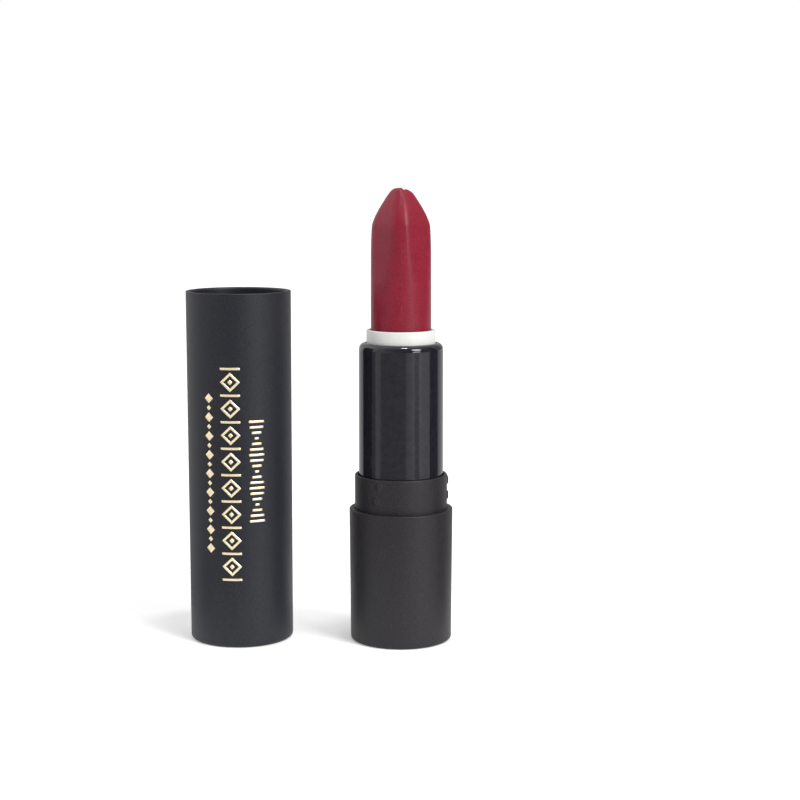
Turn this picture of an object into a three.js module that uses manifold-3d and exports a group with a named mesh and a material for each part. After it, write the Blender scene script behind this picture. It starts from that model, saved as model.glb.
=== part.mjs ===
// A slim twist-up lipstick with its cap off and standing, mouth up, beside it.
//
// Millimetres, +Z up. The origin is the bottom centre of the lipstick's base, and the
// front is towards -Y. The base holds a slotted guide tube. Round it turns a glossy tube
// with a helical sleeve inside. The cup's two lugs reach through the guide's straight
// slots into the sleeve's helical ones, so that turning the tube raises or lowers the cup.

import * as THREE from "three";
import { mergeVertices } from "three/addons/utils/BufferGeometryUtils.js";
import Module from "manifold-3d";

const wasm = await Module();
wasm.setup();

// ---- driving dimensions ----

const SIDES = 72; // facets round each turned piece
const SLEEVE_SIDES = 48; // and round the sleeve, whose slots follow its facets
const PLAIN_SIDES = 36; // and round the plain pieces inside
const FIT = 0.05; // gap between pieces that touch or slide

const BASE = { bottomR: 8.27, topR: 8.44, height: 21.8, floor: 1.2, fillet: 0.5 };
const RECESS = { r: 6.4, depth: 0.25 }; // in the underside, for the label
const COLLAR = { r: 7.54, wall: 0.49, top: 27.42, round: 0.3 };
const WEB = { bottom: 11, thick: 1.2, holeR: 3 }; // the collar's floor for the mechanism
const BUMP = { heights: [23.95, 26.35], tall: 1.3, wide: 1.1, proud: 0.19, pairs: 3 };
const TUBE = { bottomR: 6.9, topR: 6.84, wall: 0.44, top: 48.92, round: 1.02 };
const TUBE_LIP = { r: 5.76, thick: 0.62 };
const GUIDE = { r: 6.0, wall: 0.35, floor: 1.0, flangeR: 6.95 };
const SLEEVE = { wall: 0.27, endGap: 1.6 };
const CUP = { r: 5.6, wall: 0.6, floor: 1.0, bottom: 41.3, top: 51.03, round: 0.12 };
const LUG = { r: 0.65, z: 43.3, tipR: 6.27, sides: 16 };
const SLOT_CLEAR = 0.12; // on each side of a lug
const TRAVEL = 25.6; // of the cup, from fully up to fully down
const TURNS = 1.5; // of the tube over that travel
const RING_SECTION = 0.4; // radius of the friction ring's round section
const LABEL = { r: 6.2, face: 0.1 };
const CAP = { x: -26.35, y: 1.3, mouthR: 8.5, endR: 8.41, height: 57.25 };
const CAP_SHELL = { wall: 0.72, floor: 1.2, fillet: 0.6 };

// The bullet is a round stick with four scooped facets, and ribs between them that point to
// the front, back and sides. Each curve runs through [distance from the axis, height].
const BULLET_R = 4.88;
const RIB_CURVE = [
  [4.86, 62.9], [4.73, 67.1], [4.42, 68.65], [3.45, 70.55], [1.7, 73.05], [0.62, 73.7], [0, 73.75],
];
const FACET_CURVE = [
  [4.96, 54.7], [4.67, 59.5], [4.17, 65.1], [3.94, 67.7], [2.79, 71.15], [1.1, 73.85],
];
const CURVE_STEPS = 16;

const COLOURS = {
  charcoal: { color: 0x3a383c, roughness: 0.62, metalness: 0 },
  blackGloss: { color: 0x0c0d10, roughness: 0.12, metalness: 0 },
  whiteCup: { color: 0xececea, roughness: 0.35, metalness: 0 },
  wax: { color: 0x9b2138, roughness: 0.42, metalness: 0 },
  acetal: { color: 0xdedcd4, roughness: 0.45, metalness: 0 },
  steel: { color: 0x9a9da1, roughness: 0.35, metalness: 1 },
  silicone: { color: 0x2a2a2c, roughness: 0.7, metalness: 0 },
  label: { color: 0xd8c7a2, roughness: 0.55, metalness: 0 },
};

// ---- derived dimensions ----

const collarBoreR = COLLAR.r - COLLAR.wall;
const collarBottom = BASE.floor + FIT;
const guideBottom = WEB.bottom + WEB.thick + FIT;
const guideFloorTop = guideBottom + GUIDE.floor;
const guideTop = TUBE.top - TUBE_LIP.thick - FIT * 3;
const ringZ = guideFloorTop + RING_SECTION + FIT / 2;
const swivelBottom = ringZ + RING_SECTION + FIT / 2;
const sleeveInR = GUIDE.r + FIT;
const sleeveOutR = sleeveInR + SLEEVE.wall;
const sleeveTop = guideTop - SLEEVE.endGap;
const lugLowZ = LUG.z - TRAVEL;
const slotWidth = 2 * (LUG.r + SLOT_CLEAR);

// ---- geometry helpers ----

// A solid for cutting and joining, made from a closed three.js geometry.
function solid(geometry) {
  const bare = geometry.clone();
  bare.deleteAttribute("normal");
  bare.deleteAttribute("uv");
  const merged = mergeVertices(bare, 1e-5);
  const corners = [];
  for (let i = 0; i < merged.index.count; i += 3) {
    const [a, b, c] = [0, 1, 2].map((k) => merged.index.getX(i + k));
    // A triangle that the axis squeezes to a line is left out.
    if (a !== b && b !== c && c !== a) corners.push(a, b, c);
  }
  return new wasm.Manifold(new wasm.Mesh({
    numProp: 3,
    vertProperties: new Float32Array(merged.attributes.position.array),
    triVerts: new Uint32Array(corners),
  }));
}

// A named mesh, with a material of its own.
function piece(name, body, look) {
  const { vertProperties, triVerts } = body.getMesh();
  const geometry = new THREE.BufferGeometry();
  geometry.setAttribute("position", new THREE.BufferAttribute(vertProperties, 3));
  geometry.setIndex(new THREE.BufferAttribute(triVerts, 1));
  geometry.computeVertexNormals();
  const mesh = new THREE.Mesh(geometry, new THREE.MeshStandardMaterial(look));
  mesh.name = name;
  return mesh;
}

// A piece turned about Z. Its outline is a list of [radius, height], anticlockwise, that
// starts and ends on the axis or is closed here into a ring.
function turned(outline, sides = SIDES) {
  const points = outline.map(([r, z]) => new THREE.Vector2(r, z));
  if (outline[0][0] > 0) points.push(points[0].clone());
  return solid(new THREE.LatheGeometry(points, sides).rotateX(Math.PI / 2));
}

// Points on a rounded outline corner, from angle start to angle end in degrees.
function arc(r, z, radius, start, end, steps) {
  return Array.from({ length: steps + 1 }, (_, i) => {
    const angle = THREE.MathUtils.degToRad(start + ((end - start) * i) / steps);
    return [r + radius * Math.cos(angle), z + radius * Math.sin(angle)];
  });
}

// The helical cutter for one slot of the sleeve: a straight bar, bent round the axis.
function helicalBar(startAngle) {
  const step = (2 * Math.PI) / SLEEVE_SIDES;
  const spare = 1.5 * step; // room for the lug beyond each end of its path
  const sweep = 2 * Math.PI * TURNS + 2 * spare;
  const lead = TRAVEL / TURNS;
  const slope = Math.atan(lead / (2 * Math.PI * sleeveOutR));
  const bar = new THREE.BoxGeometry(sweep, 1, slotWidth / Math.cos(slope), Math.round(sweep / step));
  const place = bar.attributes.position;
  for (let i = 0; i < place.count; i += 1) {
    const turn = place.getX(i) + sweep / 2 - spare;
    const angle = startAngle + turn;
    const radius = sleeveInR + SLEEVE.wall / 2 + place.getY(i);
    const z = lugLowZ + (lead * turn) / (2 * Math.PI) + place.getZ(i);
    place.setXYZ(i, radius * Math.cos(angle), radius * Math.sin(angle), z);
  }
  // The bend turns the bar's faces inside out, so each triangle is reversed.
  const index = bar.index.array;
  for (let i = 0; i < index.length; i += 3) [index[i], index[i + 1]] = [index[i + 1], index[i]];
  return solid(bar);
}

// ---- the base, which the hand holds ----

function baseShell() {
  const f = BASE.fillet;
  const innerR = COLLAR.r + FIT;
  const outline = [
    [0, RECESS.depth], [RECESS.r, RECESS.depth], [RECESS.r, 0],
    ...arc(BASE.bottomR - f, f, f, -90, 0, 4),
    [BASE.topR, BASE.height - 0.1], [BASE.topR - 0.1, BASE.height],
    [innerR, BASE.height], [innerR, BASE.floor], [0, BASE.floor],
  ];
  return piece("base_shell", turned(outline), COLOURS.charcoal);
}

function collar() {
  const { r, top, round } = COLLAR;
  const outline = [
    [r, collarBottom], ...arc(r - round, top - round, round, 0, 90, 3),
    [collarBoreR, top], [collarBoreR, WEB.bottom + WEB.thick], [WEB.holeR, WEB.bottom + WEB.thick],
    [WEB.holeR, WEB.bottom], [collarBoreR, WEB.bottom], [collarBoreR, collarBottom],
  ];
  let body = turned(outline);
  for (let i = 0; i < BUMP.pairs; i += 1) {
    const angle = (i * 2 * Math.PI) / BUMP.pairs;
    for (const z of BUMP.heights) body = body.add(bump(angle, z));
  }
  return piece("collar", body, COLOURS.charcoal);
}

// A low round bump that grips the inside of the cap.
function bump(angle, z) {
  const geometry = new THREE.SphereGeometry(1, 10, 8);
  const sunk = 0.12; // its centre, below the surface, so that it stays inside the wall
  geometry.scale(BUMP.proud + sunk, BUMP.wide / 2, BUMP.tall / 2);
  geometry.translate(COLLAR.r - sunk, 0, z).rotateZ(angle);
  return solid(geometry);
}

function baseWeight() {
  const r = collarBoreR - 2 * FIT;
  const [low, high] = [collarBottom + FIT, WEB.bottom - FIT];
  const outline = [[0, low], [r, low], [r, high], [0, high]];
  return piece("base_weight", turned(outline, PLAIN_SIDES), COLOURS.steel);
}

function shadeLabel() {
  const top = RECESS.depth - 0.02;
  const outline = [[0, LABEL.face], [LABEL.r, LABEL.face], [LABEL.r, top], [0, top]];
  return piece("shade_label", turned(outline, PLAIN_SIDES), COLOURS.label);
}

function guideTube() {
  const innerR = GUIDE.r - GUIDE.wall;
  const body = turned([
    [0, guideBottom], [GUIDE.flangeR, guideBottom], [GUIDE.flangeR, guideFloorTop],
    [GUIDE.r, guideFloorTop], [GUIDE.r, guideTop], [innerR, guideTop],
    [innerR, guideFloorTop], [0, guideFloorTop],
  ]);
  const slotLength = TRAVEL + slotWidth;
  const slots = new THREE.BoxGeometry(4 * GUIDE.r, slotWidth, slotLength);
  slots.translate(0, 0, LUG.z - TRAVEL / 2);
  return piece("guide_tube", body.subtract(solid(slots)), COLOURS.acetal);
}

function frictionRing() {
  const centreR = (GUIDE.r + GUIDE.flangeR) / 2;
  const ring = new THREE.TorusGeometry(centreR, RING_SECTION, 10, PLAIN_SIDES).translate(0, 0, ringZ);
  return piece("friction_ring", solid(ring), COLOURS.silicone);
}

// ---- the swivel, which turns round the guide ----

function outerTube() {
  const { bottomR, topR, wall, top, round } = TUBE;
  const outline = [
    [bottomR, swivelBottom], ...arc(topR - round, top - round, round, 0, 90, 4),
    [TUBE_LIP.r, top], [TUBE_LIP.r, top - TUBE_LIP.thick],
    [topR - wall, top - TUBE_LIP.thick], [bottomR - wall, swivelBottom],
  ];
  return piece("outer_tube", turned(outline), COLOURS.blackGloss);
}

function spiralSleeve() {
  let body = turned([
    [sleeveOutR, swivelBottom], [sleeveOutR, sleeveTop],
    [sleeveInR, sleeveTop], [sleeveInR, swivelBottom],
  ], SLEEVE_SIDES);
  // With the cup up, its lugs are at the top of the slots, TURNS after their start.
  const start = -2 * Math.PI * TURNS;
  for (const lugAngle of [0, Math.PI]) body = body.subtract(helicalBar(lugAngle + start));
  return piece("spiral_sleeve", body, COLOURS.acetal);
}

// ---- the carrier, which rises and falls ----

function lipstickCup() {
  const { r, wall, floor, bottom, top, round } = CUP;
  const innerR = r - wall;
  const body = turned([
    [0, bottom], [r, bottom], ...arc(r - round, top - round, round, 0, 90, 2),
    [innerR, top], [innerR, bottom + floor], [0, bottom + floor],
  ]);
  const lugRootR = innerR + wall / 2;
  const lugLength = LUG.tipR - lugRootR;
  const lug = new THREE.CylinderGeometry(LUG.r, LUG.r, lugLength, LUG.sides).rotateZ(Math.PI / 2);
  lug.translate(lugRootR + lugLength / 2, 0, LUG.z);
  const opposite = lug.clone().rotateZ(Math.PI);
  return piece("lipstick_cup", body.add(solid(lug)).add(solid(opposite)), COLOURS.whiteCup);
}

// Evenly spread points on a smooth curve through the given ones.
function smooth(points) {
  return new THREE.SplineCurve(points.map(([r, z]) => new THREE.Vector2(r, z))).getPoints(CURVE_STEPS);
}

function lipstickBullet() {
  const bottom = CUP.bottom + CUP.floor + FIT;
  const ribs = smooth(RIB_CURVE).map(({ x, y }) => [x, y]);
  let body = turned([[0, bottom], [BULLET_R, bottom], ...ribs]);
  // Each facet is cut by a block whose inner face follows the facet's curve.
  const reach = 2 * BULLET_R;
  const section = new THREE.Shape([
    ...smooth(FACET_CURVE),
    new THREE.Vector2(reach, FACET_CURVE.at(-1)[1]),
    new THREE.Vector2(reach, FACET_CURVE[0][1]),
  ]);
  const block = new THREE.ExtrudeGeometry(section, { depth: 2 * reach, bevelEnabled: false });
  block.translate(0, 0, -reach).rotateX(Math.PI / 2);
  for (let i = 0; i < 4; i += 1) {
    body = body.subtract(solid(block.clone().rotateZ(Math.PI / 4 + (i * Math.PI) / 2)));
  }
  return piece("lipstick_bullet", body, COLOURS.wax);
}

// ---- the cap, standing on its closed end ----

function capShell() {
  const { mouthR, endR, height } = CAP;
  const { wall, floor, fillet } = CAP_SHELL;
  const outline = [
    [0, 0], ...arc(endR - fillet, fillet, fillet, -90, 0, 4),
    [mouthR, height - 0.1], [mouthR - 0.1, height],
    [mouthR - wall, height], [endR - wall, floor], [0, floor],
  ];
  const mesh = piece("cap_shell", turned(outline), COLOURS.charcoal);
  mesh.position.set(CAP.x, CAP.y, 0);
  return mesh;
}

// ---- the assembly ----

function group(name, ...meshes) {
  const made = new THREE.Group();
  made.name = name;
  made.add(...meshes);
  return made;
}

export default group(
  "lipstick",
  group("base", baseShell(), collar(), baseWeight(), shadeLabel(), guideTube(), frictionRing()),
  group("swivel", outerTube(), spiralSleeve()),
  group("carrier", lipstickCup(), lipstickBullet()),
  group("cap", capShell()),
);
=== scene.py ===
"""A slim twist-up lipstick, stick raised, with its cap standing beside it, in a white studio.

The CAD model is the frame. Fine turned and moulded meshes replace the faceted pieces that
show, each piece has a procedural material, and a gold foil ornament is stamped on the cap.
Lengths in the script are millimetres; MM turns them into Blender's metres.
"""

import math

import bpy
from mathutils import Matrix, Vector


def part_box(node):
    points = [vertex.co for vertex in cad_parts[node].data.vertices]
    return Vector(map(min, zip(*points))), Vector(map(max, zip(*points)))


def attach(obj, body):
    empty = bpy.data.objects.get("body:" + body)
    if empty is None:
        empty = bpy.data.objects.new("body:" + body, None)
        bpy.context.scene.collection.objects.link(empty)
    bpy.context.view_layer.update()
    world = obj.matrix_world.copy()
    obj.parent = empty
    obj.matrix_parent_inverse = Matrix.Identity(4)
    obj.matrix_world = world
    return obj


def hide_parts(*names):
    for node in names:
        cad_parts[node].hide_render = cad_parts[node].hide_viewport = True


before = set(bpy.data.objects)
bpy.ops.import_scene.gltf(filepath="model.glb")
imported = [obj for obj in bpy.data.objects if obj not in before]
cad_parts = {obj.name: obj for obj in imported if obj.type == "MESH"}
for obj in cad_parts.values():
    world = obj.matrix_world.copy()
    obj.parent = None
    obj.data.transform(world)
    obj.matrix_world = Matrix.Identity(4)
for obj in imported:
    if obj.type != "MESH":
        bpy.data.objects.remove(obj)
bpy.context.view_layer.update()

MM = 0.001
SIDES = 288          # round each turned piece
ARC_STEPS = 6        # in each rounded edge
SUPPORT = 0.015      # how far a support ring stands from a rounded edge
ON_AXIS = 1e-6       # a radius below this is on the axis
FIT = 0.05           # gap between pieces that touch


# ---- measures taken from the frame ----

def span(node):
    """The node's lowest and highest corner, in millimetres."""
    low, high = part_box(node)
    return low / MM, high / MM


base_high = span("base_shell")[1]
collar_low, collar_high = span("collar")
tube_low, tube_high = span("outer_tube")
cup_low, cup_high = span("lipstick_cup")
stick_low, stick_high = span("lipstick_bullet")
cap_low, cap_high = span("cap_shell")
label_low, label_high = span("shade_label")

BASE_R = base_high.x
BASE_TOP = base_high.z
BASE_TAPER = 0.17                 # the base narrows by this towards its foot
COLLAR_R = -collar_low.x          # the side away from the bumps
COLLAR_TOP = collar_high.z
COLLAR_WALL = 0.49
TUBE_R = tube_high.x
TUBE_TOP = tube_high.z
TUBE_TAPER = 0.06                 # the tube narrows by this towards its mouth
TUBE_WALL = 0.44
TUBE_MOUTH_R = 5.76
CUP_R = cup_high.y
CUP_TOP = cup_high.z
CUP_WALL = 0.6
STICK_R = stick_high.y
STICK_TIP = stick_high.z
CAP_CENTRE = ((cap_low.x + cap_high.x) / 2, (cap_low.y + cap_high.y) / 2)
CAP_R = (cap_high.x - cap_low.x) / 2
CAP_TOP = cap_high.z
CAP_TAPER = 0.09                  # the cap narrows by this towards its closed end
CAP_WALL = 0.72


# ---- mesh helpers ----

def mesh_object(name, points, faces):
    """A smooth-shaded object from points in millimetres."""
    mesh = bpy.data.meshes.new(name)
    mesh.from_pydata([Vector(p) * MM for p in points], [], faces)
    mesh.polygons.foreach_set("use_smooth", [True] * len(mesh.polygons))
    mesh.update()
    made = bpy.data.objects.new(name, mesh)
    bpy.context.scene.collection.objects.link(made)
    return made


def rounded(corners, closed=False):
    """Outline points through corners (radius, height, rounding), with an arc at each rounded one."""
    points = []
    for i, (r, z, rounding) in enumerate(corners):
        here = Vector((r, z))
        on_end = not closed and i in (0, len(corners) - 1)
        if on_end or rounding == 0:
            points.append(here)
            continue
        before = (Vector(corners[i - 1][:2]) - here).normalized()
        after = (Vector(corners[(i + 1) % len(corners)][:2]) - here).normalized()
        half = before.angle(after) / 2
        reach = rounding / math.tan(half)
        centre = here + (before + after).normalized() * rounding / math.sin(half)
        start = here + before * reach
        end = here + after * reach
        sweep = math.pi - 2 * half
        points.append(start + before * SUPPORT)
        for k in range(ARC_STEPS + 1):
            t = k / ARC_STEPS
            arm = (start - centre) * math.sin((1 - t) * sweep) + (end - centre) * math.sin(t * sweep)
            points.append(centre + arm / math.sin(sweep))
        points.append(end + after * SUPPORT)
    return [(p.x, p.y) for p in points]


def turned(name, outline, centre=(0, 0), angles=None, swell=None):
    """A piece turned about the vertical line through centre, from an anticlockwise outline.

    The outline starts and ends on the axis, or closes on itself into a ring. swell, where
    given, returns how far the surface stands out at (angle, radius, height).
    """
    angles = angles or [2 * math.pi * i / SIDES for i in range(SIDES)]
    count = len(angles)
    points, rows = [], []
    for r, z in outline:
        if r < ON_AXIS:
            rows.append([len(points)] * count)
            points.append((centre[0], centre[1], z))
            continue
        rows.append(list(range(len(points), len(points) + count)))
        for angle in angles:
            reach = r + (swell(angle, r, z) if swell else 0)
            points.append((centre[0] + reach * math.cos(angle), centre[1] + reach * math.sin(angle), z))
    is_ring = outline[0][0] > ON_AXIS
    faces = []
    for low, high in zip(rows, rows[1:] + rows[:1] if is_ring else rows[1:]):
        for i in range(count):
            j = (i + 1) % count
            faces.append(list(dict.fromkeys((low[i], low[j], high[j], high[i]))))
    return mesh_object(name, points, faces)


def stacked_faces(rings, sides):
    """Faces round a stack of rings, with a fan to a single point at each end.

    The points come as the lower end, then each ring from the lowest up, then the upper end.
    """
    upper_end = 1 + rings * sides
    faces = []
    for i in range(sides):
        j = (i + 1) % sides
        faces.append((0, 1 + j, 1 + i))
        for row in range(rings - 1):
            low, high = 1 + row * sides, 1 + (row + 1) * sides
            faces.append((low + i, low + j, high + j, high + i))
        top = 1 + (rings - 1) * sides
        faces.append((top + i, top + j, upper_end))
    return faces


def place(piece, body, slot, material, *nodes):
    """Gives the piece its material and body, and hides the CAD nodes it stands for."""
    piece.data.materials.append(material)
    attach(piece, body)
    if nodes:
        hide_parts(*nodes)
    return piece


def ease(low, high, value):
    """0 below low, 1 above high, and smooth between."""
    t = min(max((value - low) / (high - low), 0), 1)
    return t * t * (3 - 2 * t)


# ---- materials ----

# The colour sockets of a Mix node, by number, because its other kinds share their names.
MIX_FIRST, MIX_SECOND, MIX_RESULT = 6, 7, 2


class Look:
    """A Principled material with helpers for noise in the object's own space.

    colour and roughness are the plain values, which noise may then take the place of.
    """

    def __init__(self, name, colour, roughness, **sockets):
        self.material = bpy.data.materials.new(name)
        self.material.use_nodes = True
        self.tree = self.material.node_tree
        self.shader = self.tree.nodes["Principled BSDF"]
        self.space = self.add("ShaderNodeTexCoord").outputs["Object"]
        self.shader.inputs["Base Color"].default_value = (*colour, 1)
        self.shader.inputs["Roughness"].default_value = roughness
        for socket, value in sockets.items():
            self.shader.inputs[socket.replace("_", " ")].default_value = value
        self.height = None

    def add(self, kind, **settings):
        node = self.tree.nodes.new(kind)
        for key, value in settings.items():
            setattr(node, key, value)
        return node

    def link(self, source, target):
        self.tree.links.new(source, target)

    def noise(self, size, detail=2.0, stretch=(1, 1, 1), roughness=0.5):
        """Noise from 0 to 1 with grains of the given size in millimetres."""
        mapping = self.add("ShaderNodeMapping")
        mapping.inputs["Scale"].default_value = [1 / (size * MM * s) for s in stretch]
        self.link(self.space, mapping.inputs["Vector"])
        noise = self.add("ShaderNodeTexNoise")
        noise.inputs["Scale"].default_value = 1
        noise.inputs["Detail"].default_value = detail
        noise.inputs["Roughness"].default_value = roughness
        self.link(mapping.outputs["Vector"], noise.inputs["Vector"])
        return noise.outputs["Fac"]

    def remap(self, value, low, high, start=0.3, end=0.7):
        """The value's range from start to end spread over low to high."""
        node = self.add("ShaderNodeMapRange")
        node.inputs["From Min"].default_value = start
        node.inputs["From Max"].default_value = end
        node.inputs["To Min"].default_value = low
        node.inputs["To Max"].default_value = high
        self.link(value, node.inputs["Value"])
        return node.outputs["Result"]

    def mix(self, factor, first, second):
        """One colour or the other, by factor. Either may be a plain colour or a socket."""
        node = self.add("ShaderNodeMix", data_type="RGBA")
        self.link(factor, node.inputs["Factor"])
        for socket, colour in ((node.inputs[MIX_FIRST], first), (node.inputs[MIX_SECOND], second)):
            if isinstance(colour, tuple):
                socket.default_value = (*colour, 1)
            else:
                self.link(colour, socket)
        return node.outputs[MIX_RESULT]

    def colour(self, socket):
        self.link(socket, self.shader.inputs["Base Color"])

    def roughness(self, socket):
        self.link(socket, self.shader.inputs["Roughness"])

    def bump(self, value, depth, strength=1.0):
        """Raises the surface by value, to a depth in millimetres, over any bump before it."""
        node = self.add("ShaderNodeBump")
        node.inputs["Strength"].default_value = strength
        node.inputs["Distance"].default_value = depth * MM
        self.link(value, node.inputs["Height"])
        if self.height:
            self.link(self.height, node.inputs["Normal"])
        self.height = node.outputs["Normal"]
        self.link(self.height, self.shader.inputs["Normal"])


def soft_touch(name, dark, light, cast):
    """A fine matte coat: a grain from dark to light, with cloudy patches of cast."""
    look = Look(name, light, 0.5, Specular_IOR_Level=0.36)
    fine = look.noise(size=0.24, detail=3, roughness=0.6)
    cloud = look.noise(size=2.2, detail=3)
    tone = look.mix(look.remap(fine, 0, 1, start=0.34, end=0.66), dark, light)
    look.colour(look.mix(look.remap(cloud, 0, 0.5), tone, cast))
    look.roughness(look.remap(fine, 0.44, 0.56))
    look.bump(fine, depth=0.022, strength=0.8)
    look.bump(look.noise(size=0.11, detail=2), depth=0.008, strength=0.6)
    look.bump(look.noise(size=0.9, detail=2), depth=0.016, strength=0.4)
    return look.material


def gloss_black():
    """The polished tube: near black, with the faint upright waves of a drawn surface."""
    look = Look("gloss_black", (0.011, 0.011, 0.014), 0.05, Specular_IOR_Level=0.45)
    cloud = look.noise(size=0.9, detail=4)
    look.colour(look.mix(look.remap(cloud, 0, 1), (0.0085, 0.0080, 0.0118), (0.0140, 0.0130, 0.0175)))
    smear = look.noise(size=0.7, detail=2, stretch=(1, 1, 14))
    look.roughness(look.remap(smear, 0.05, 0.14))
    look.bump(look.noise(size=1.9, detail=1, stretch=(1, 1, 9)), depth=0.014, strength=0.6)
    look.bump(look.noise(size=0.2, detail=2), depth=0.0016, strength=0.5)
    return look.material


def white_cup():
    """White moulded plastic that lets a little light in."""
    scatter = 0.5 * MM
    look = Look("white_cup", (0.65, 0.65, 0.63), 0.32, Subsurface_Weight=0.06)
    look.shader.inputs["Subsurface Radius"].default_value = (scatter, scatter, scatter)
    cloud = look.noise(size=1.4, detail=2)
    look.colour(look.mix(look.remap(cloud, 0, 1), (0.635, 0.635, 0.615), (0.665, 0.665, 0.65)))
    look.roughness(look.remap(look.noise(size=0.25, detail=2), 0.27, 0.38))
    look.bump(look.noise(size=0.2, detail=2), depth=0.002, strength=0.4)
    return look.material


def lipstick_wax():
    """Satin red wax, with fine level marks from the mould and a soft speckle."""
    look = Look("lipstick_wax", (0.20, 0.006, 0.02), 0.40, Specular_IOR_Level=0.28)
    cloud = look.noise(size=1.6, detail=3)
    speck = look.noise(size=0.2, detail=3, roughness=0.65)
    tone = look.mix(look.remap(cloud, 0, 1), (0.130, 0.0020, 0.0110), (0.174, 0.0034, 0.0155))
    look.colour(look.mix(look.remap(speck, 0, 0.7), tone, (0.268, 0.013, 0.034)))
    look.roughness(look.remap(look.noise(size=0.5, detail=2), 0.35, 0.46))
    look.bump(look.noise(size=0.16, detail=2, stretch=(9, 9, 1)), depth=0.009, strength=0.6)
    look.bump(speck, depth=0.012, strength=0.6)
    look.bump(look.noise(size=0.9, detail=2), depth=0.02, strength=0.3)
    return look.material


def gold_foil():
    """Hot-stamped foil: pale gold, a little crumpled, worn thin in specks."""
    look = Look("gold_foil", (1.0, 0.84, 0.55), 0.32, Metallic=0.6)
    grain = look.noise(size=0.12, detail=3)
    look.colour(look.mix(look.remap(grain, 0, 1), (0.95, 0.74, 0.42), (1.0, 0.92, 0.68)))
    look.roughness(look.remap(grain, 0.24, 0.42))
    look.bump(look.noise(size=0.3, detail=2), depth=0.008, strength=0.5)
    return look.material


def moulded_plastic():
    """The cream plastic of the hidden mechanism."""
    look = Look("moulded_plastic", (0.70, 0.69, 0.63), 0.42)
    cloud = look.noise(size=1.8, detail=2)
    look.colour(look.mix(look.remap(cloud, 0, 1), (0.67, 0.66, 0.60), (0.73, 0.72, 0.67)))
    look.roughness(look.remap(look.noise(size=0.4), 0.36, 0.5))
    look.bump(look.noise(size=0.3, detail=2), depth=0.004, strength=0.4)
    return look.material


def turned_steel():
    """Steel with fine level marks from the lathe."""
    look = Look("turned_steel", (0.52, 0.53, 0.55), 0.3, Metallic=1.0)
    marks = look.noise(size=0.12, detail=3, stretch=(6, 6, 1))
    look.roughness(look.remap(marks, 0.22, 0.42))
    look.bump(marks, depth=0.004, strength=0.5)
    return look.material


def silicone():
    """The black rubber of the friction ring."""
    look = Look("silicone", (0.02, 0.02, 0.022), 0.6)
    look.roughness(look.remap(look.noise(size=0.3), 0.52, 0.7))
    look.bump(look.noise(size=0.2), depth=0.003, strength=0.4)
    return look.material


def label_print(radius):
    """A plain satin sticker: a cream ground, and a round swatch of the stick's shade."""
    look = Look("label_print", (0.72, 0.62, 0.46), 0.5)
    distance = look.add("ShaderNodeVectorMath", operation="LENGTH")
    flatten = look.add("ShaderNodeVectorMath", operation="MULTIPLY")
    flatten.inputs[1].default_value = (1, 1, 0)
    look.link(look.space, flatten.inputs[0])
    look.link(flatten.outputs["Vector"], distance.inputs[0])
    swatch = 0.52 * radius * MM
    edge = 0.03 * MM
    outside = look.remap(distance.outputs["Value"], 0, 1, start=swatch - edge, end=swatch + edge)
    fibre = look.noise(size=0.15, detail=3)
    ground = look.mix(look.remap(fibre, 0, 1), (0.70, 0.60, 0.44), (0.76, 0.67, 0.51))
    look.colour(look.mix(outside, (0.30, 0.012, 0.035), ground))
    look.roughness(look.remap(fibre, 0.42, 0.58))
    look.bump(fibre, depth=0.003, strength=0.4)
    return look.material


def studio_white():
    """The glowing top of a light table, so that shadows on it stay faint."""
    look = Look("studio_white", (0.80, 0.80, 0.80), 0.85, Specular_IOR_Level=0.1, Emission_Strength=0.26)
    look.shader.inputs["Emission Color"].default_value = (1, 1, 1, 1)
    look.roughness(look.remap(look.noise(size=40, detail=1), 0.8, 0.9))
    return look.material


def card(name, brightness):
    """A plain studio card."""
    look = Look(name, (brightness, brightness, brightness), 0.6)
    look.roughness(look.remap(look.noise(size=5, detail=1), 0.55, 0.65))
    return look.material


BASE_COAT = soft_touch(
    "base_coat",
    dark=(0.0098, 0.0080, 0.0096), light=(0.0226, 0.0195, 0.0225), cast=(0.0142, 0.0130, 0.0174),
)
CAP_COAT = soft_touch(    # a little bluer
    "cap_coat",
    dark=(0.0058, 0.0066, 0.0108), light=(0.0172, 0.0176, 0.0240), cast=(0.0092, 0.0104, 0.0172),
)


# ---- the base ----

def base_shell():
    """The outer shell: a slim tapered cup with a flat ledge and a recess for the label."""
    foot_r = BASE_R - BASE_TAPER
    bore_r = COLLAR_R + FIT
    recess_r, recess_z = 6.4, 0.25
    floor_z = 1.2
    outline = rounded([
        (0, recess_z, 0), (recess_r, recess_z, 0.06), (recess_r, 0, 0.1),
        (foot_r, 0, 0.5), (BASE_R, BASE_TOP, 0.14), (bore_r, BASE_TOP, 0.05),
        (bore_r, floor_z, 0.1), (0, floor_z, 0),
    ])
    place(turned("base_shell_fine", outline), "base", "charcoal_base", BASE_COAT, "base_shell")


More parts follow.
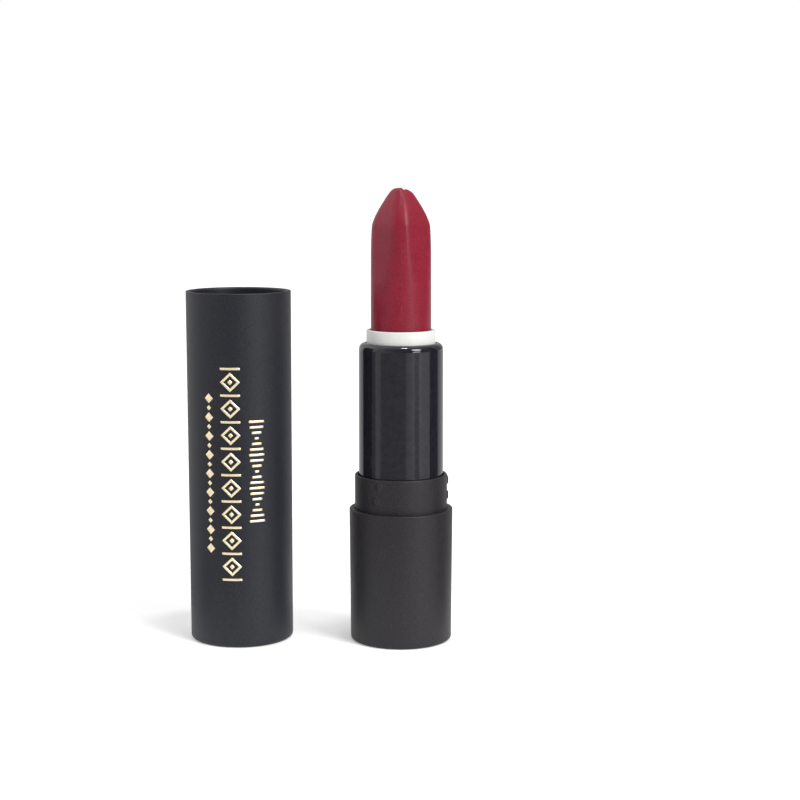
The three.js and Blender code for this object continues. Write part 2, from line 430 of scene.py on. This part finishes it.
def collar():
    """The neck, with pairs of small round bumps that grip the cap."""
    bore_r = COLLAR_R - COLLAR_WALL
    web_r, web_low, web_high = 3.0, 11.0, 12.2
    bump_pairs = 3
    bump_heights = (23.95, 26.35)
    bump_twists = (-0.035, 0.035)    # the upper one sits a little further anticlockwise
    bump_high, bump_half_tall, bump_half_wide = 0.21, 0.78, 0.64
    bump_shoulder = 0.8              # the share of a bump that is its sloping edge
    outer_face = COLLAR_R - 0.01
    fine_sides, wall_rows = 432, 56

    def bumps(angle, r, z):
        if r < outer_face or z < BASE_TOP:
            return 0
        stand = 0
        for pair in range(bump_pairs):
            for height, twist in zip(bump_heights, bump_twists):
                off = angle - pair * 2 * math.pi / bump_pairs - twist
                off = (off + math.pi) % (2 * math.pi) - math.pi
                across = off * COLLAR_R / bump_half_wide
                along = (z - height) / bump_half_tall
                stand = max(stand, 1 - across * across - along * along)
        return bump_high * math.sqrt(ease(0, bump_shoulder, stand))

    wall_low, wall_high = BASE_TOP + 0.1, COLLAR_TOP - 0.45
    wall = [
        (COLLAR_R, wall_low + (wall_high - wall_low) * i / wall_rows, 0)
        for i in range(wall_rows + 1)
    ]
    outline = rounded([
        (COLLAR_R, collar_low.z, 0.05), *wall, (COLLAR_R, COLLAR_TOP, 0.2),
        (bore_r, COLLAR_TOP, 0.12), (bore_r, web_high, 0.1), (web_r, web_high, 0.1),
        (web_r, web_low, 0.1), (bore_r, web_low, 0.1), (bore_r, collar_low.z, 0.05),
    ], closed=True)
    angles = [2 * math.pi * i / fine_sides for i in range(fine_sides)]
    made = turned("collar_fine", outline, angles=angles, swell=bumps)
    place(made, "base", "charcoal_base", BASE_COAT, "collar")


def shade_label():
    """The round sticker in the underside's recess."""
    radius = label_high.x
    low, high, edge = label_low.z, label_high.z, 0.03
    outline = rounded([(0, low, 0), (radius, low, edge), (radius, high, edge), (0, high, 0)])
    label = turned("shade_label_fine", outline)
    place(label, "base", "label_paper", label_print(radius), "shade_label")


# ---- the swivel ----

def outer_tube():
    """The glossy tube, rolled in at its mouth."""
    foot_r, top_r = TUBE_R, TUBE_R - TUBE_TAPER
    lip, rolled = 0.62, 1.02
    outline = rounded([
        (foot_r, tube_low.z, 0.08), (top_r, TUBE_TOP, rolled), (TUBE_MOUTH_R, TUBE_TOP, 0.03),
        (TUBE_MOUTH_R, TUBE_TOP - lip, 0.08), (top_r - TUBE_WALL, TUBE_TOP - lip, 0.08),
        (foot_r - TUBE_WALL, tube_low.z, 0.08),
    ], closed=True)
    place(turned("outer_tube_fine", outline), "swivel", "gloss_black", gloss_black(), "outer_tube")


# ---- the carrier ----

def lipstick_cup():
    """The white cup that holds the stick, with a lug on each side for the mechanism."""
    bore_r = CUP_R - CUP_WALL
    floor_z = cup_low.z + 1.0
    outline = rounded([
        (0, cup_low.z, 0), (CUP_R, cup_low.z, 0.15), (CUP_R, CUP_TOP, 0.16),
        (bore_r, CUP_TOP, 0.1), (bore_r, floor_z, 0.2), (0, floor_z, 0),
    ])
    cup = turned("lipstick_cup_fine", outline)
    lug_z, lug_r, lug_tip = 43.3, 0.65, 6.27
    root = CUP_R - CUP_WALL / 2
    for side in (1, -1):
        add_lug(cup, side, root, lug_tip, lug_r, lug_z)
    place(cup, "carrier", "cup_white", white_cup(), "lipstick_cup")


def add_lug(cup, side, root, tip, radius, height):
    """Joins a short round lug, with a rounded end, onto the cup's side."""
    sides, rounding = 32, 0.12
    rings = [
        (root, radius), (tip - rounding, radius), (tip - 0.25 * rounding, radius - 0.7 * rounding),
    ]
    points = [(side * root, 0, height)]
    for x, r in rings:
        for i in range(sides):
            angle = 2 * math.pi * i / sides
            points.append((side * x, r * math.cos(angle), height + r * math.sin(angle)))
    points.append((side * tip, 0, height))
    faces = stacked_faces(len(rings), sides)
    if side < 0:
        faces = [tuple(reversed(face)) for face in faces]
    lug = mesh_object("lug", points, faces)
    with bpy.context.temp_override(active_object=cup, selected_editable_objects=[cup, lug]):
        bpy.ops.object.join()


def smooth_curve(knots):
    """A smooth function through (height, distance) knots, lowest first."""
    def slope(i):
        low, high = knots[max(i - 1, 0)], knots[min(i + 1, len(knots) - 1)]
        return (high[1] - low[1]) / (high[0] - low[0])

    def value(z):
        if z <= knots[0][0]:
            return knots[0][1]
        for i, (start, end) in enumerate(zip(knots, knots[1:])):
            if z <= end[0]:
                width = end[0] - start[0]
                t = (z - start[0]) / width
                return (
                    (2 * t**3 - 3 * t**2 + 1) * start[1] + (t**3 - 2 * t**2 + t) * width * slope(i)
                    + (3 * t**2 - 2 * t**3) * end[1] + (t**3 - t**2) * width * slope(i + 1)
                )
        return knots[-1][1]
    return value


def soft_min(a, b, blend):
    """The smaller of two lengths, rounded over where they cross."""
    h = max(blend - abs(a - b), 0) / blend
    return min(a, b) - h * h * blend / 4


# Each knot is (depth below the stick's tip, distance from its axis), lowest first.
RIB_KNOTS = [
    (10.86, 4.86), (7.67, 4.78), (6.38, 4.71), (5.73, 4.61), (4.48, 4.13), (3.19, 3.45),
    (1.93, 2.66), (1.0, 2.02), (0.5, 1.62), (0.2, 1.24), (0.06, 0.88),
]
FACET_KNOTS = [
    (18.85, 4.93), (18.15, 4.85), (17.25, 4.78), (15.45, 4.69), (13.05, 4.48), (10.55, 4.33),
    (8.75, 4.21), (6.35, 4.08), (5.55, 3.93), (3.75, 3.27), (2.15, 2.52), (0.95, 1.83), (0, 1.25),
]
FACETS_START = STICK_TIP - 20.5    # the stick is round below this height
CROWN_START = STICK_TIP - 0.06     # and closes over above this one
SEAMS = (-math.pi / 2, math.pi / 2)    # the mould lines, at the front and the back


def stick_surface():
    """A function that gives the stick's distance from its axis at (angle, height)."""
    rib = smooth_curve([(stick_low.z, STICK_R)] + [(STICK_TIP - depth, r) for depth, r in RIB_KNOTS])
    facet = smooth_curve([(STICK_TIP - depth, r) for depth, r in FACET_KNOTS])
    edge_blend, more_at_foot, more_at_tip = 0.36, 0.16, 0.12
    seam_proud, seam_half = 0.018, 0.06

    def distance(angle, z):
        r = rib(z)
        if z > FACETS_START:
            off = (angle % (math.pi / 2)) - math.pi / 4
            blend = edge_blend
            blend += more_at_foot * ease(STICK_TIP - 13.75, FACETS_START, z)
            blend += more_at_tip * ease(STICK_TIP - 3.75, STICK_TIP - 0.25, z)
            r = soft_min(r, facet(z) / math.cos(off), blend)
        seam_fade = ease(STICK_TIP - 4, STICK_TIP - 8, z)
        for seam in SEAMS:
            off = (angle - seam + math.pi) % (2 * math.pi) - math.pi
            r += seam_proud * math.exp(-((off * r / seam_half) ** 2)) * seam_fade
        return r

    return distance


def stick_angles():
    """Even steps round the stick, with finer ones over each mould line."""
    even = [2 * math.pi * i / SIDES - math.pi for i in range(SIDES)]
    seam_steps, seam_step = 9, 0.0045
    fine = [seam + k * seam_step for seam in SEAMS for k in range(-seam_steps, seam_steps + 1)]
    return sorted({round(angle, 5) for angle in even + fine})


def stick_rings():
    """The stick's rings as (height, share of its full distance), closer where it curves more."""
    bands = [
        (stick_low.z, 16), (STICK_TIP - 18.75, 60), (STICK_TIP - 6.55, 60), (STICK_TIP - 0.6, 14),
        (CROWN_START, 1),
    ]
    heights = []
    for (low, steps), (high, _) in zip(bands, bands[1:]):
        heights += [low + (high - low) * i / steps for i in range(steps)]
    heights.append(CROWN_START)
    return [(z, 1) for z in heights] + [(STICK_TIP - 0.025, 0.6), (STICK_TIP - 0.005, 0.35)]


def tip_notch(x, y, z):
    """Lowers the tip a little to the right of a small notch."""
    near_tip = ease(STICK_TIP - 0.9, STICK_TIP - 0.2, z)
    step_drop, step_start, step_end = 0.17, 0.1, 0.35
    notch_depth, notch_x, notch_half = 0.16, 0.42, 0.16
    drop = step_drop * ease(step_start, step_end, x)
    drop += notch_depth * math.exp(-(((x - notch_x) / notch_half) ** 2))
    return (x, y, z - near_tip * drop)


def lipstick_bullet():
    """The stick: round at its foot, with four scooped facets, four ribs and a mould line."""
    distance, angles, rings = stick_surface(), stick_angles(), stick_rings()
    points = [(0, 0, stick_low.z)]
    for z, share in rings:
        for angle in angles:
            r = share * distance(angle, min(z, CROWN_START))
            points.append(tip_notch(r * math.cos(angle), r * math.sin(angle), z))
    points.append(tip_notch(0, 0, STICK_TIP))
    stick = mesh_object("lipstick_bullet_fine", points, stacked_faces(len(rings), len(angles)))
    place(stick, "carrier", "lipstick_red", lipstick_wax(), "lipstick_bullet")


# ---- the cap ----

def cap_radius(z):
    """The cap's outer radius at a height: it widens slightly towards its mouth."""
    return CAP_R - CAP_TAPER * (1 - z / CAP_TOP)


def cap_shell():
    """The cap: a plain cup, standing on its closed end."""
    end_r = cap_radius(0)
    floor_z = 1.2
    outline = rounded([
        (0, 0, 0), (end_r, 0, 0.6), (CAP_R, CAP_TOP, 0.13), (CAP_R - CAP_WALL, CAP_TOP, 0.34),
        (end_r - CAP_WALL, floor_z, 0.4), (0, floor_z, 0),
    ])
    made = turned("cap_shell_fine", outline, centre=CAP_CENTRE)
    place(made, "cap", "charcoal_cap", CAP_COAT, "cap_shell")


# ---- the gold foil on the cap ----

FOIL_PROUD = 0.015   # how far the foil stands from the cap
FOIL_SINK = 0.012    # and how far it reaches in
FOIL_STEP = 0.25     # longest facet along the foil
FOIL_STROKE = 0.36   # width of a line of foil


class Foil:
    """Collects flat shapes given as (along the arc, height), and wraps them on the cap."""

    def __init__(self):
        self.points, self.faces = [], []

    def at(self, u, z, out):
        """The place of (u, z) at a distance out from the cap's surface."""
        angle = -math.pi / 2 + u / CAP_R
        r = cap_radius(z) + out
        return (CAP_CENTRE[0] + r * math.cos(angle), CAP_CENTRE[1] + r * math.sin(angle), z)

    def sheet(self, grid, loops=False):
        """A thin closed sheet over a grid of (u, z) points. loops joins the last row to the first."""
        rows, columns = len(grid), len(grid[0])
        first = len(self.points)
        for out in (FOIL_PROUD, -FOIL_SINK):
            self.points += [self.at(u, z, out) for row in grid for u, z in row]
        under = rows * columns

        def index(i, j, low):
            return first + (i % rows) * columns + j + (under if low else 0)

        def edge_wall(a, b, turn):
            wall = [index(*a, False), index(*b, False), index(*b, True), index(*a, True)]
            self.faces.append(wall[::-1] if turn else wall)

        for i in range(rows if loops else rows - 1):
            for j in range(columns - 1):
                quad = [(i, j), (i, j + 1), (i + 1, j + 1), (i + 1, j)]
                self.faces.append([index(*p, False) for p in quad])
                self.faces.append([index(*p, True) for p in reversed(quad)])
            for j, turn in ((0, False), (columns - 1, True)):
                edge_wall((i, j), (i + 1, j), turn)
        if not loops:
            for i, turn in ((0, True), (rows - 1, False)):
                for j in range(columns - 1):
                    edge_wall((i, j), (i, j + 1), turn)

    def quad(self, a, b, c, d):
        """A four-cornered patch, corners anticlockwise as seen from outside."""
        a, b, c, d = map(Vector, (a, b, c, d))
        columns = max(1, math.ceil(max((b - a).length, (c - d).length) / FOIL_STEP))
        rows = max(1, math.ceil(max((d - a).length, (c - b).length) / FOIL_STEP))
        grid = []
        for i in range(rows + 1):
            left, right = a.lerp(d, i / rows), b.lerp(c, i / rows)
            grid.append([tuple(left.lerp(right, j / columns)) for j in range(columns + 1)])
        self.sheet(grid)

    def bar(self, u, z, half_wide, half_tall):
        self.quad(
            (u - half_wide, z - half_tall), (u + half_wide, z - half_tall),
            (u + half_wide, z + half_tall), (u - half_wide, z + half_tall),
        )

    def lozenge(self, u, z, half_wide, half_tall):
        self.quad((u, z - half_tall), (u + half_wide, z), (u, z + half_tall), (u - half_wide, z))

    def open_lozenge(self, u, z, half_wide, half_tall):
        """A lozenge outline of even stroke."""
        share = 1 - FOIL_STROKE * math.hypot(half_wide, half_tall) / (half_wide * half_tall)
        corners = [(0, -half_tall), (half_wide, 0), (0, half_tall), (-half_wide, 0)]
        steps = math.ceil(math.hypot(half_wide, half_tall) / FOIL_STEP)
        grid = []
        for start, end in zip(corners, corners[1:] + corners[:1]):
            for k in range(steps):
                x, y = Vector(start).lerp(Vector(end), k / steps)
                grid.append([(u + x * s, z + y * s) for s in (share, (1 + share) / 2, 1)])
        self.sheet(grid, loops=True)


def middle_column(foil):
    """Open lozenges with solid hearts, between level bars."""
    u, low, high, half_wide = -0.75, 11.3, 45.4, 1.62
    count, heart = 8, 0.42
    pitch = (high - low) / count
    half_tall = 0.36 * pitch
    for i in range(count):
        z = low + pitch * (i + 0.5)
        foil.open_lozenge(u, z, half_wide, half_tall)
        foil.lozenge(u, z, heart, heart)
    for i in range(count + 1):
        foil.bar(u, low + pitch * i, half_wide, FOIL_STROKE / 2)


def right_column(foil):
    """Level bars that swell and shrink."""
    u, low, high = 3.5, 20.8, 36.9
    count, bars_per_swell = 19, 6
    narrowest, widest = 0.364, 1.3
    for i in range(count):
        z = low + (high - low) * i / (count - 1)
        swell = abs(math.cos(math.pi * i / bars_per_swell))
        foil.bar(u, z, narrowest + (widest - narrowest) * swell, FOIL_STROKE / 2)


def left_column(foil):
    """A string of small solid lozenges, large and small by turns."""
    u, low, high = -4.45, 16.3, 40.6
    count, large, small = 17, 0.78, 0.42
    for i in range(count):
        z = low + (high - low) * i / (count - 1)
        size = small if i % 2 else large
        foil.lozenge(u, z, size, size)


def cap_foil():
    """Three upright columns of plain bars and lozenges."""
    foil = Foil()
    middle_column(foil)
    right_column(foil)
    left_column(foil)
    place(mesh_object("cap_foil", foil.points, foil.faces), "cap", "gold_foil", gold_foil())


# ---- carried-over CAD nodes ----

def finish_hidden_pieces():
    """Gives the mechanism's own CAD meshes their materials."""
    plastic = moulded_plastic()
    looks = {
        "guide_tube": plastic, "spiral_sleeve": plastic,
        "base_weight": turned_steel(), "friction_ring": silicone(),
    }
    for node, material in looks.items():
        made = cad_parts[node]
        made.data.materials.clear()
        made.data.materials.append(material)


# ---- the studio ----

def stage_floor():
    """A wide white floor, a hair under the feet so that no faces coincide."""
    reach, z = 4000, -0.02
    corners = [(-reach, -reach, z), (reach, -reach, z), (reach, reach, z), (-reach, reach, z)]
    floor = mesh_object("floor", corners, [(0, 1, 2, 3)])
    floor.data.materials.append(studio_white())


def seen_in_gloss_only(piece):
    """Marks a studio card that shows in reflections, and neither lights nor shades anything."""
    piece.visible_camera = False
    piece.visible_diffuse = False
    piece.visible_shadow = False
    piece.visible_transmission = False


def flag_right():
    """A dark flag of a lipstick's outline. The tube shows it as it shows the cap on its other side."""
    x, foot = 27.4, 0.5
    base_r, base_top = 8.2, 22
    tube_r, tube_taper, tube_top = 7.2, 0.2, 49
    stick_r, stick_taper, shoulder, tip = 5.2, 0.4, 68, 74
    outline = rounded([
        (0, foot, 0), (base_r, foot, 0.5), (base_r, base_top, 0.2),
        (tube_r, base_top, 0.2), (tube_r - tube_taper, tube_top, 0.5),
        (stick_r, tube_top, 0.2), (stick_r - stick_taper, shoulder, 2), (0, tip, 0),
    ])
    flag = turned("flag_right", outline, centre=(x, 0))
    flag.data.materials.append(card("flag_black", 0.012))
    seen_in_gloss_only(flag)


# Cards that lie on the floor round the object, as (azimuth where one starts, grey). The tube shows
# them as its upright bands. A card reaches to the next one's start, and the last entry only ends it.
FLOOR_CARDS = [
    (-178, 0.54),                             # behind, on the left
    (-90, 0.20), (-73, 0.70), (-57, 0.30),    # left
    (-48, 0.26), (14, 0.60), (37, 0.06),      # in front
    (50, 0.70), (88, 0.20),                   # right
    (121, 0.56), (178, None),                 # behind, on the right
]


def floor_cards():
    """The cards, each a part of one flat ring round the object."""
    near, far, height = 45, 900, 0.4
    steps = 12
    for (start, grey), (end, _) in zip(FLOOR_CARDS, FLOOR_CARDS[1:]):
        points = []
        for i in range(steps + 1):
            azimuth = math.radians(start + (end - start) * i / steps)
            points += [(r * math.sin(azimuth), -r * math.cos(azimuth), height) for r in (near, far)]
        faces = [(2 * i, 2 * i + 1, 2 * i + 3, 2 * i + 2) for i in range(steps)]
        name = f"card_{start}"
        made = mesh_object(name, points, faces)
        made.data.materials.append(card(name, grey))
        seen_in_gloss_only(made)


def lamp_at(name, kind, azimuth, elevation, distance=700):
    """A lamp aimed at the object. Azimuth 0 is the front, positive towards +X."""
    lamp = bpy.data.lights.new(name, kind)
    made = bpy.data.objects.new(name, lamp)
    a, e = math.radians(azimuth), math.radians(elevation)
    towards = Vector((math.sin(a) * math.cos(e), -math.cos(a) * math.cos(e), math.sin(e)))
    target = Vector((0, 0, 35))    # about half way up the lipstick
    where = target + distance * towards
    made.location = where * MM
    made.rotation_euler = (target - where).to_track_quat("-Z", "Y").to_euler()
    bpy.context.scene.collection.objects.link(made)
    return lamp


def soft_sun(name, azimuth, elevation, spread, strength):
    """A wide far light, as even over the floor as a large softbox."""
    sun = lamp_at(name, "SUN", azimuth, elevation)
    sun.angle = math.radians(spread)
    sun.energy = strength


def panel(name, azimuth, elevation, width, height, radiance):
    """A soft rectangular panel."""
    lamp = lamp_at(name, "AREA", azimuth, elevation)
    lamp.shape = "RECTANGLE"
    lamp.size, lamp.size_y = width * MM, height * MM
    lamp.energy = radiance * math.pi * lamp.size * lamp.size_y


def studio_lights():
    """A soft key from the front right, a low panel on that side, and a small bright one overhead."""
    soft_sun("key", azimuth=50, elevation=40, spread=24, strength=2.25)
    panel("strip", azimuth=43, elevation=10, width=260, height=180, radiance=7)
    panel("overhead", azimuth=35, elevation=81, width=110, height=50, radiance=76)


def studio_world():
    """A white room that dims towards the camera, the right and the far wall.

    Where the camera sees it, it is plain white.
    """
    world = bpy.data.worlds.new("studio")
    world.use_nodes = True
    tree = world.node_tree
    sky = tree.nodes["Background"]
    direction = tree.nodes.new("ShaderNodeTexCoord").outputs["Generated"]
    split = tree.nodes.new("ShaderNodeSeparateXYZ")
    tree.links.new(direction, split.inputs["Vector"])

    def ramp(value, start, end, low, high):
        """low up to start, high from end on, and smooth between."""
        node = tree.nodes.new("ShaderNodeMapRange")
        node.interpolation_type = "SMOOTHSTEP"
        for socket, number in zip(("From Min", "From Max", "To Min", "To Max"), (start, end, low, high)):
            node.inputs[socket].default_value = number
        tree.links.new(value, node.inputs["Value"])
        return node.outputs["Result"]

    def combine(operation, first, second):
        node = tree.nodes.new("ShaderNodeMath")
        node.operation = operation
        tree.links.new(first, node.inputs[0])
        tree.links.new(second, node.inputs[1])
        return node.outputs["Value"]

    x, y, z = (split.outputs[axis] for axis in "XYZ")
    from_back = ramp(y, start=-0.45, end=0.3, low=0.18, high=0.92)
    from_left = ramp(x, start=-0.85, end=-0.15, low=0.72, high=0)
    from_above = ramp(z, start=0.8, end=1, low=0, high=0.5)
    right_dim = ramp(x, start=0.15, end=0.85, low=1, high=0.48)
    far_dim = ramp(y, start=0.35, end=0.8, low=1, high=0.62)
    lit = combine("ADD", combine("ADD", from_back, from_left), from_above)
    lit = combine("MULTIPLY", combine("MULTIPLY", lit, right_dim), far_dim)
    seen = tree.nodes.new("ShaderNodeLightPath").outputs["Is Camera Ray"]
    strength = combine("MAXIMUM", lit, seen)
    tree.links.new(strength, sky.inputs["Strength"])
    sky.inputs["Color"].default_value = (1, 1, 1, 1)
    bpy.context.scene.world = world


def camera():
    """A camera in front, a little above the stick's tip, that looks slightly down."""
    sensor, lens = 36, 78.1965
    where = Vector((-0.16, -280, 77))
    tilt = 0.1331
    data = bpy.data.cameras.new("camera")
    data.sensor_width = sensor
    data.lens = lens
    data.clip_start = 0.01
    data.clip_end = 50
    made = bpy.data.objects.new("camera", data)
    made.location = where * MM
    made.rotation_euler = (math.pi / 2 - tilt, 0, 0)
    bpy.context.scene.collection.objects.link(made)
    bpy.context.scene.camera = made


base_shell()
collar()
shade_label()
outer_tube()
lipstick_cup()
lipstick_bullet()
cap_shell()
cap_foil()
finish_hidden_pieces()
stage_floor()
flag_right()
floor_cards()
studio_lights()
studio_world()
camera()
bpy.context.scene.view_settings.view_transform = "Standard"
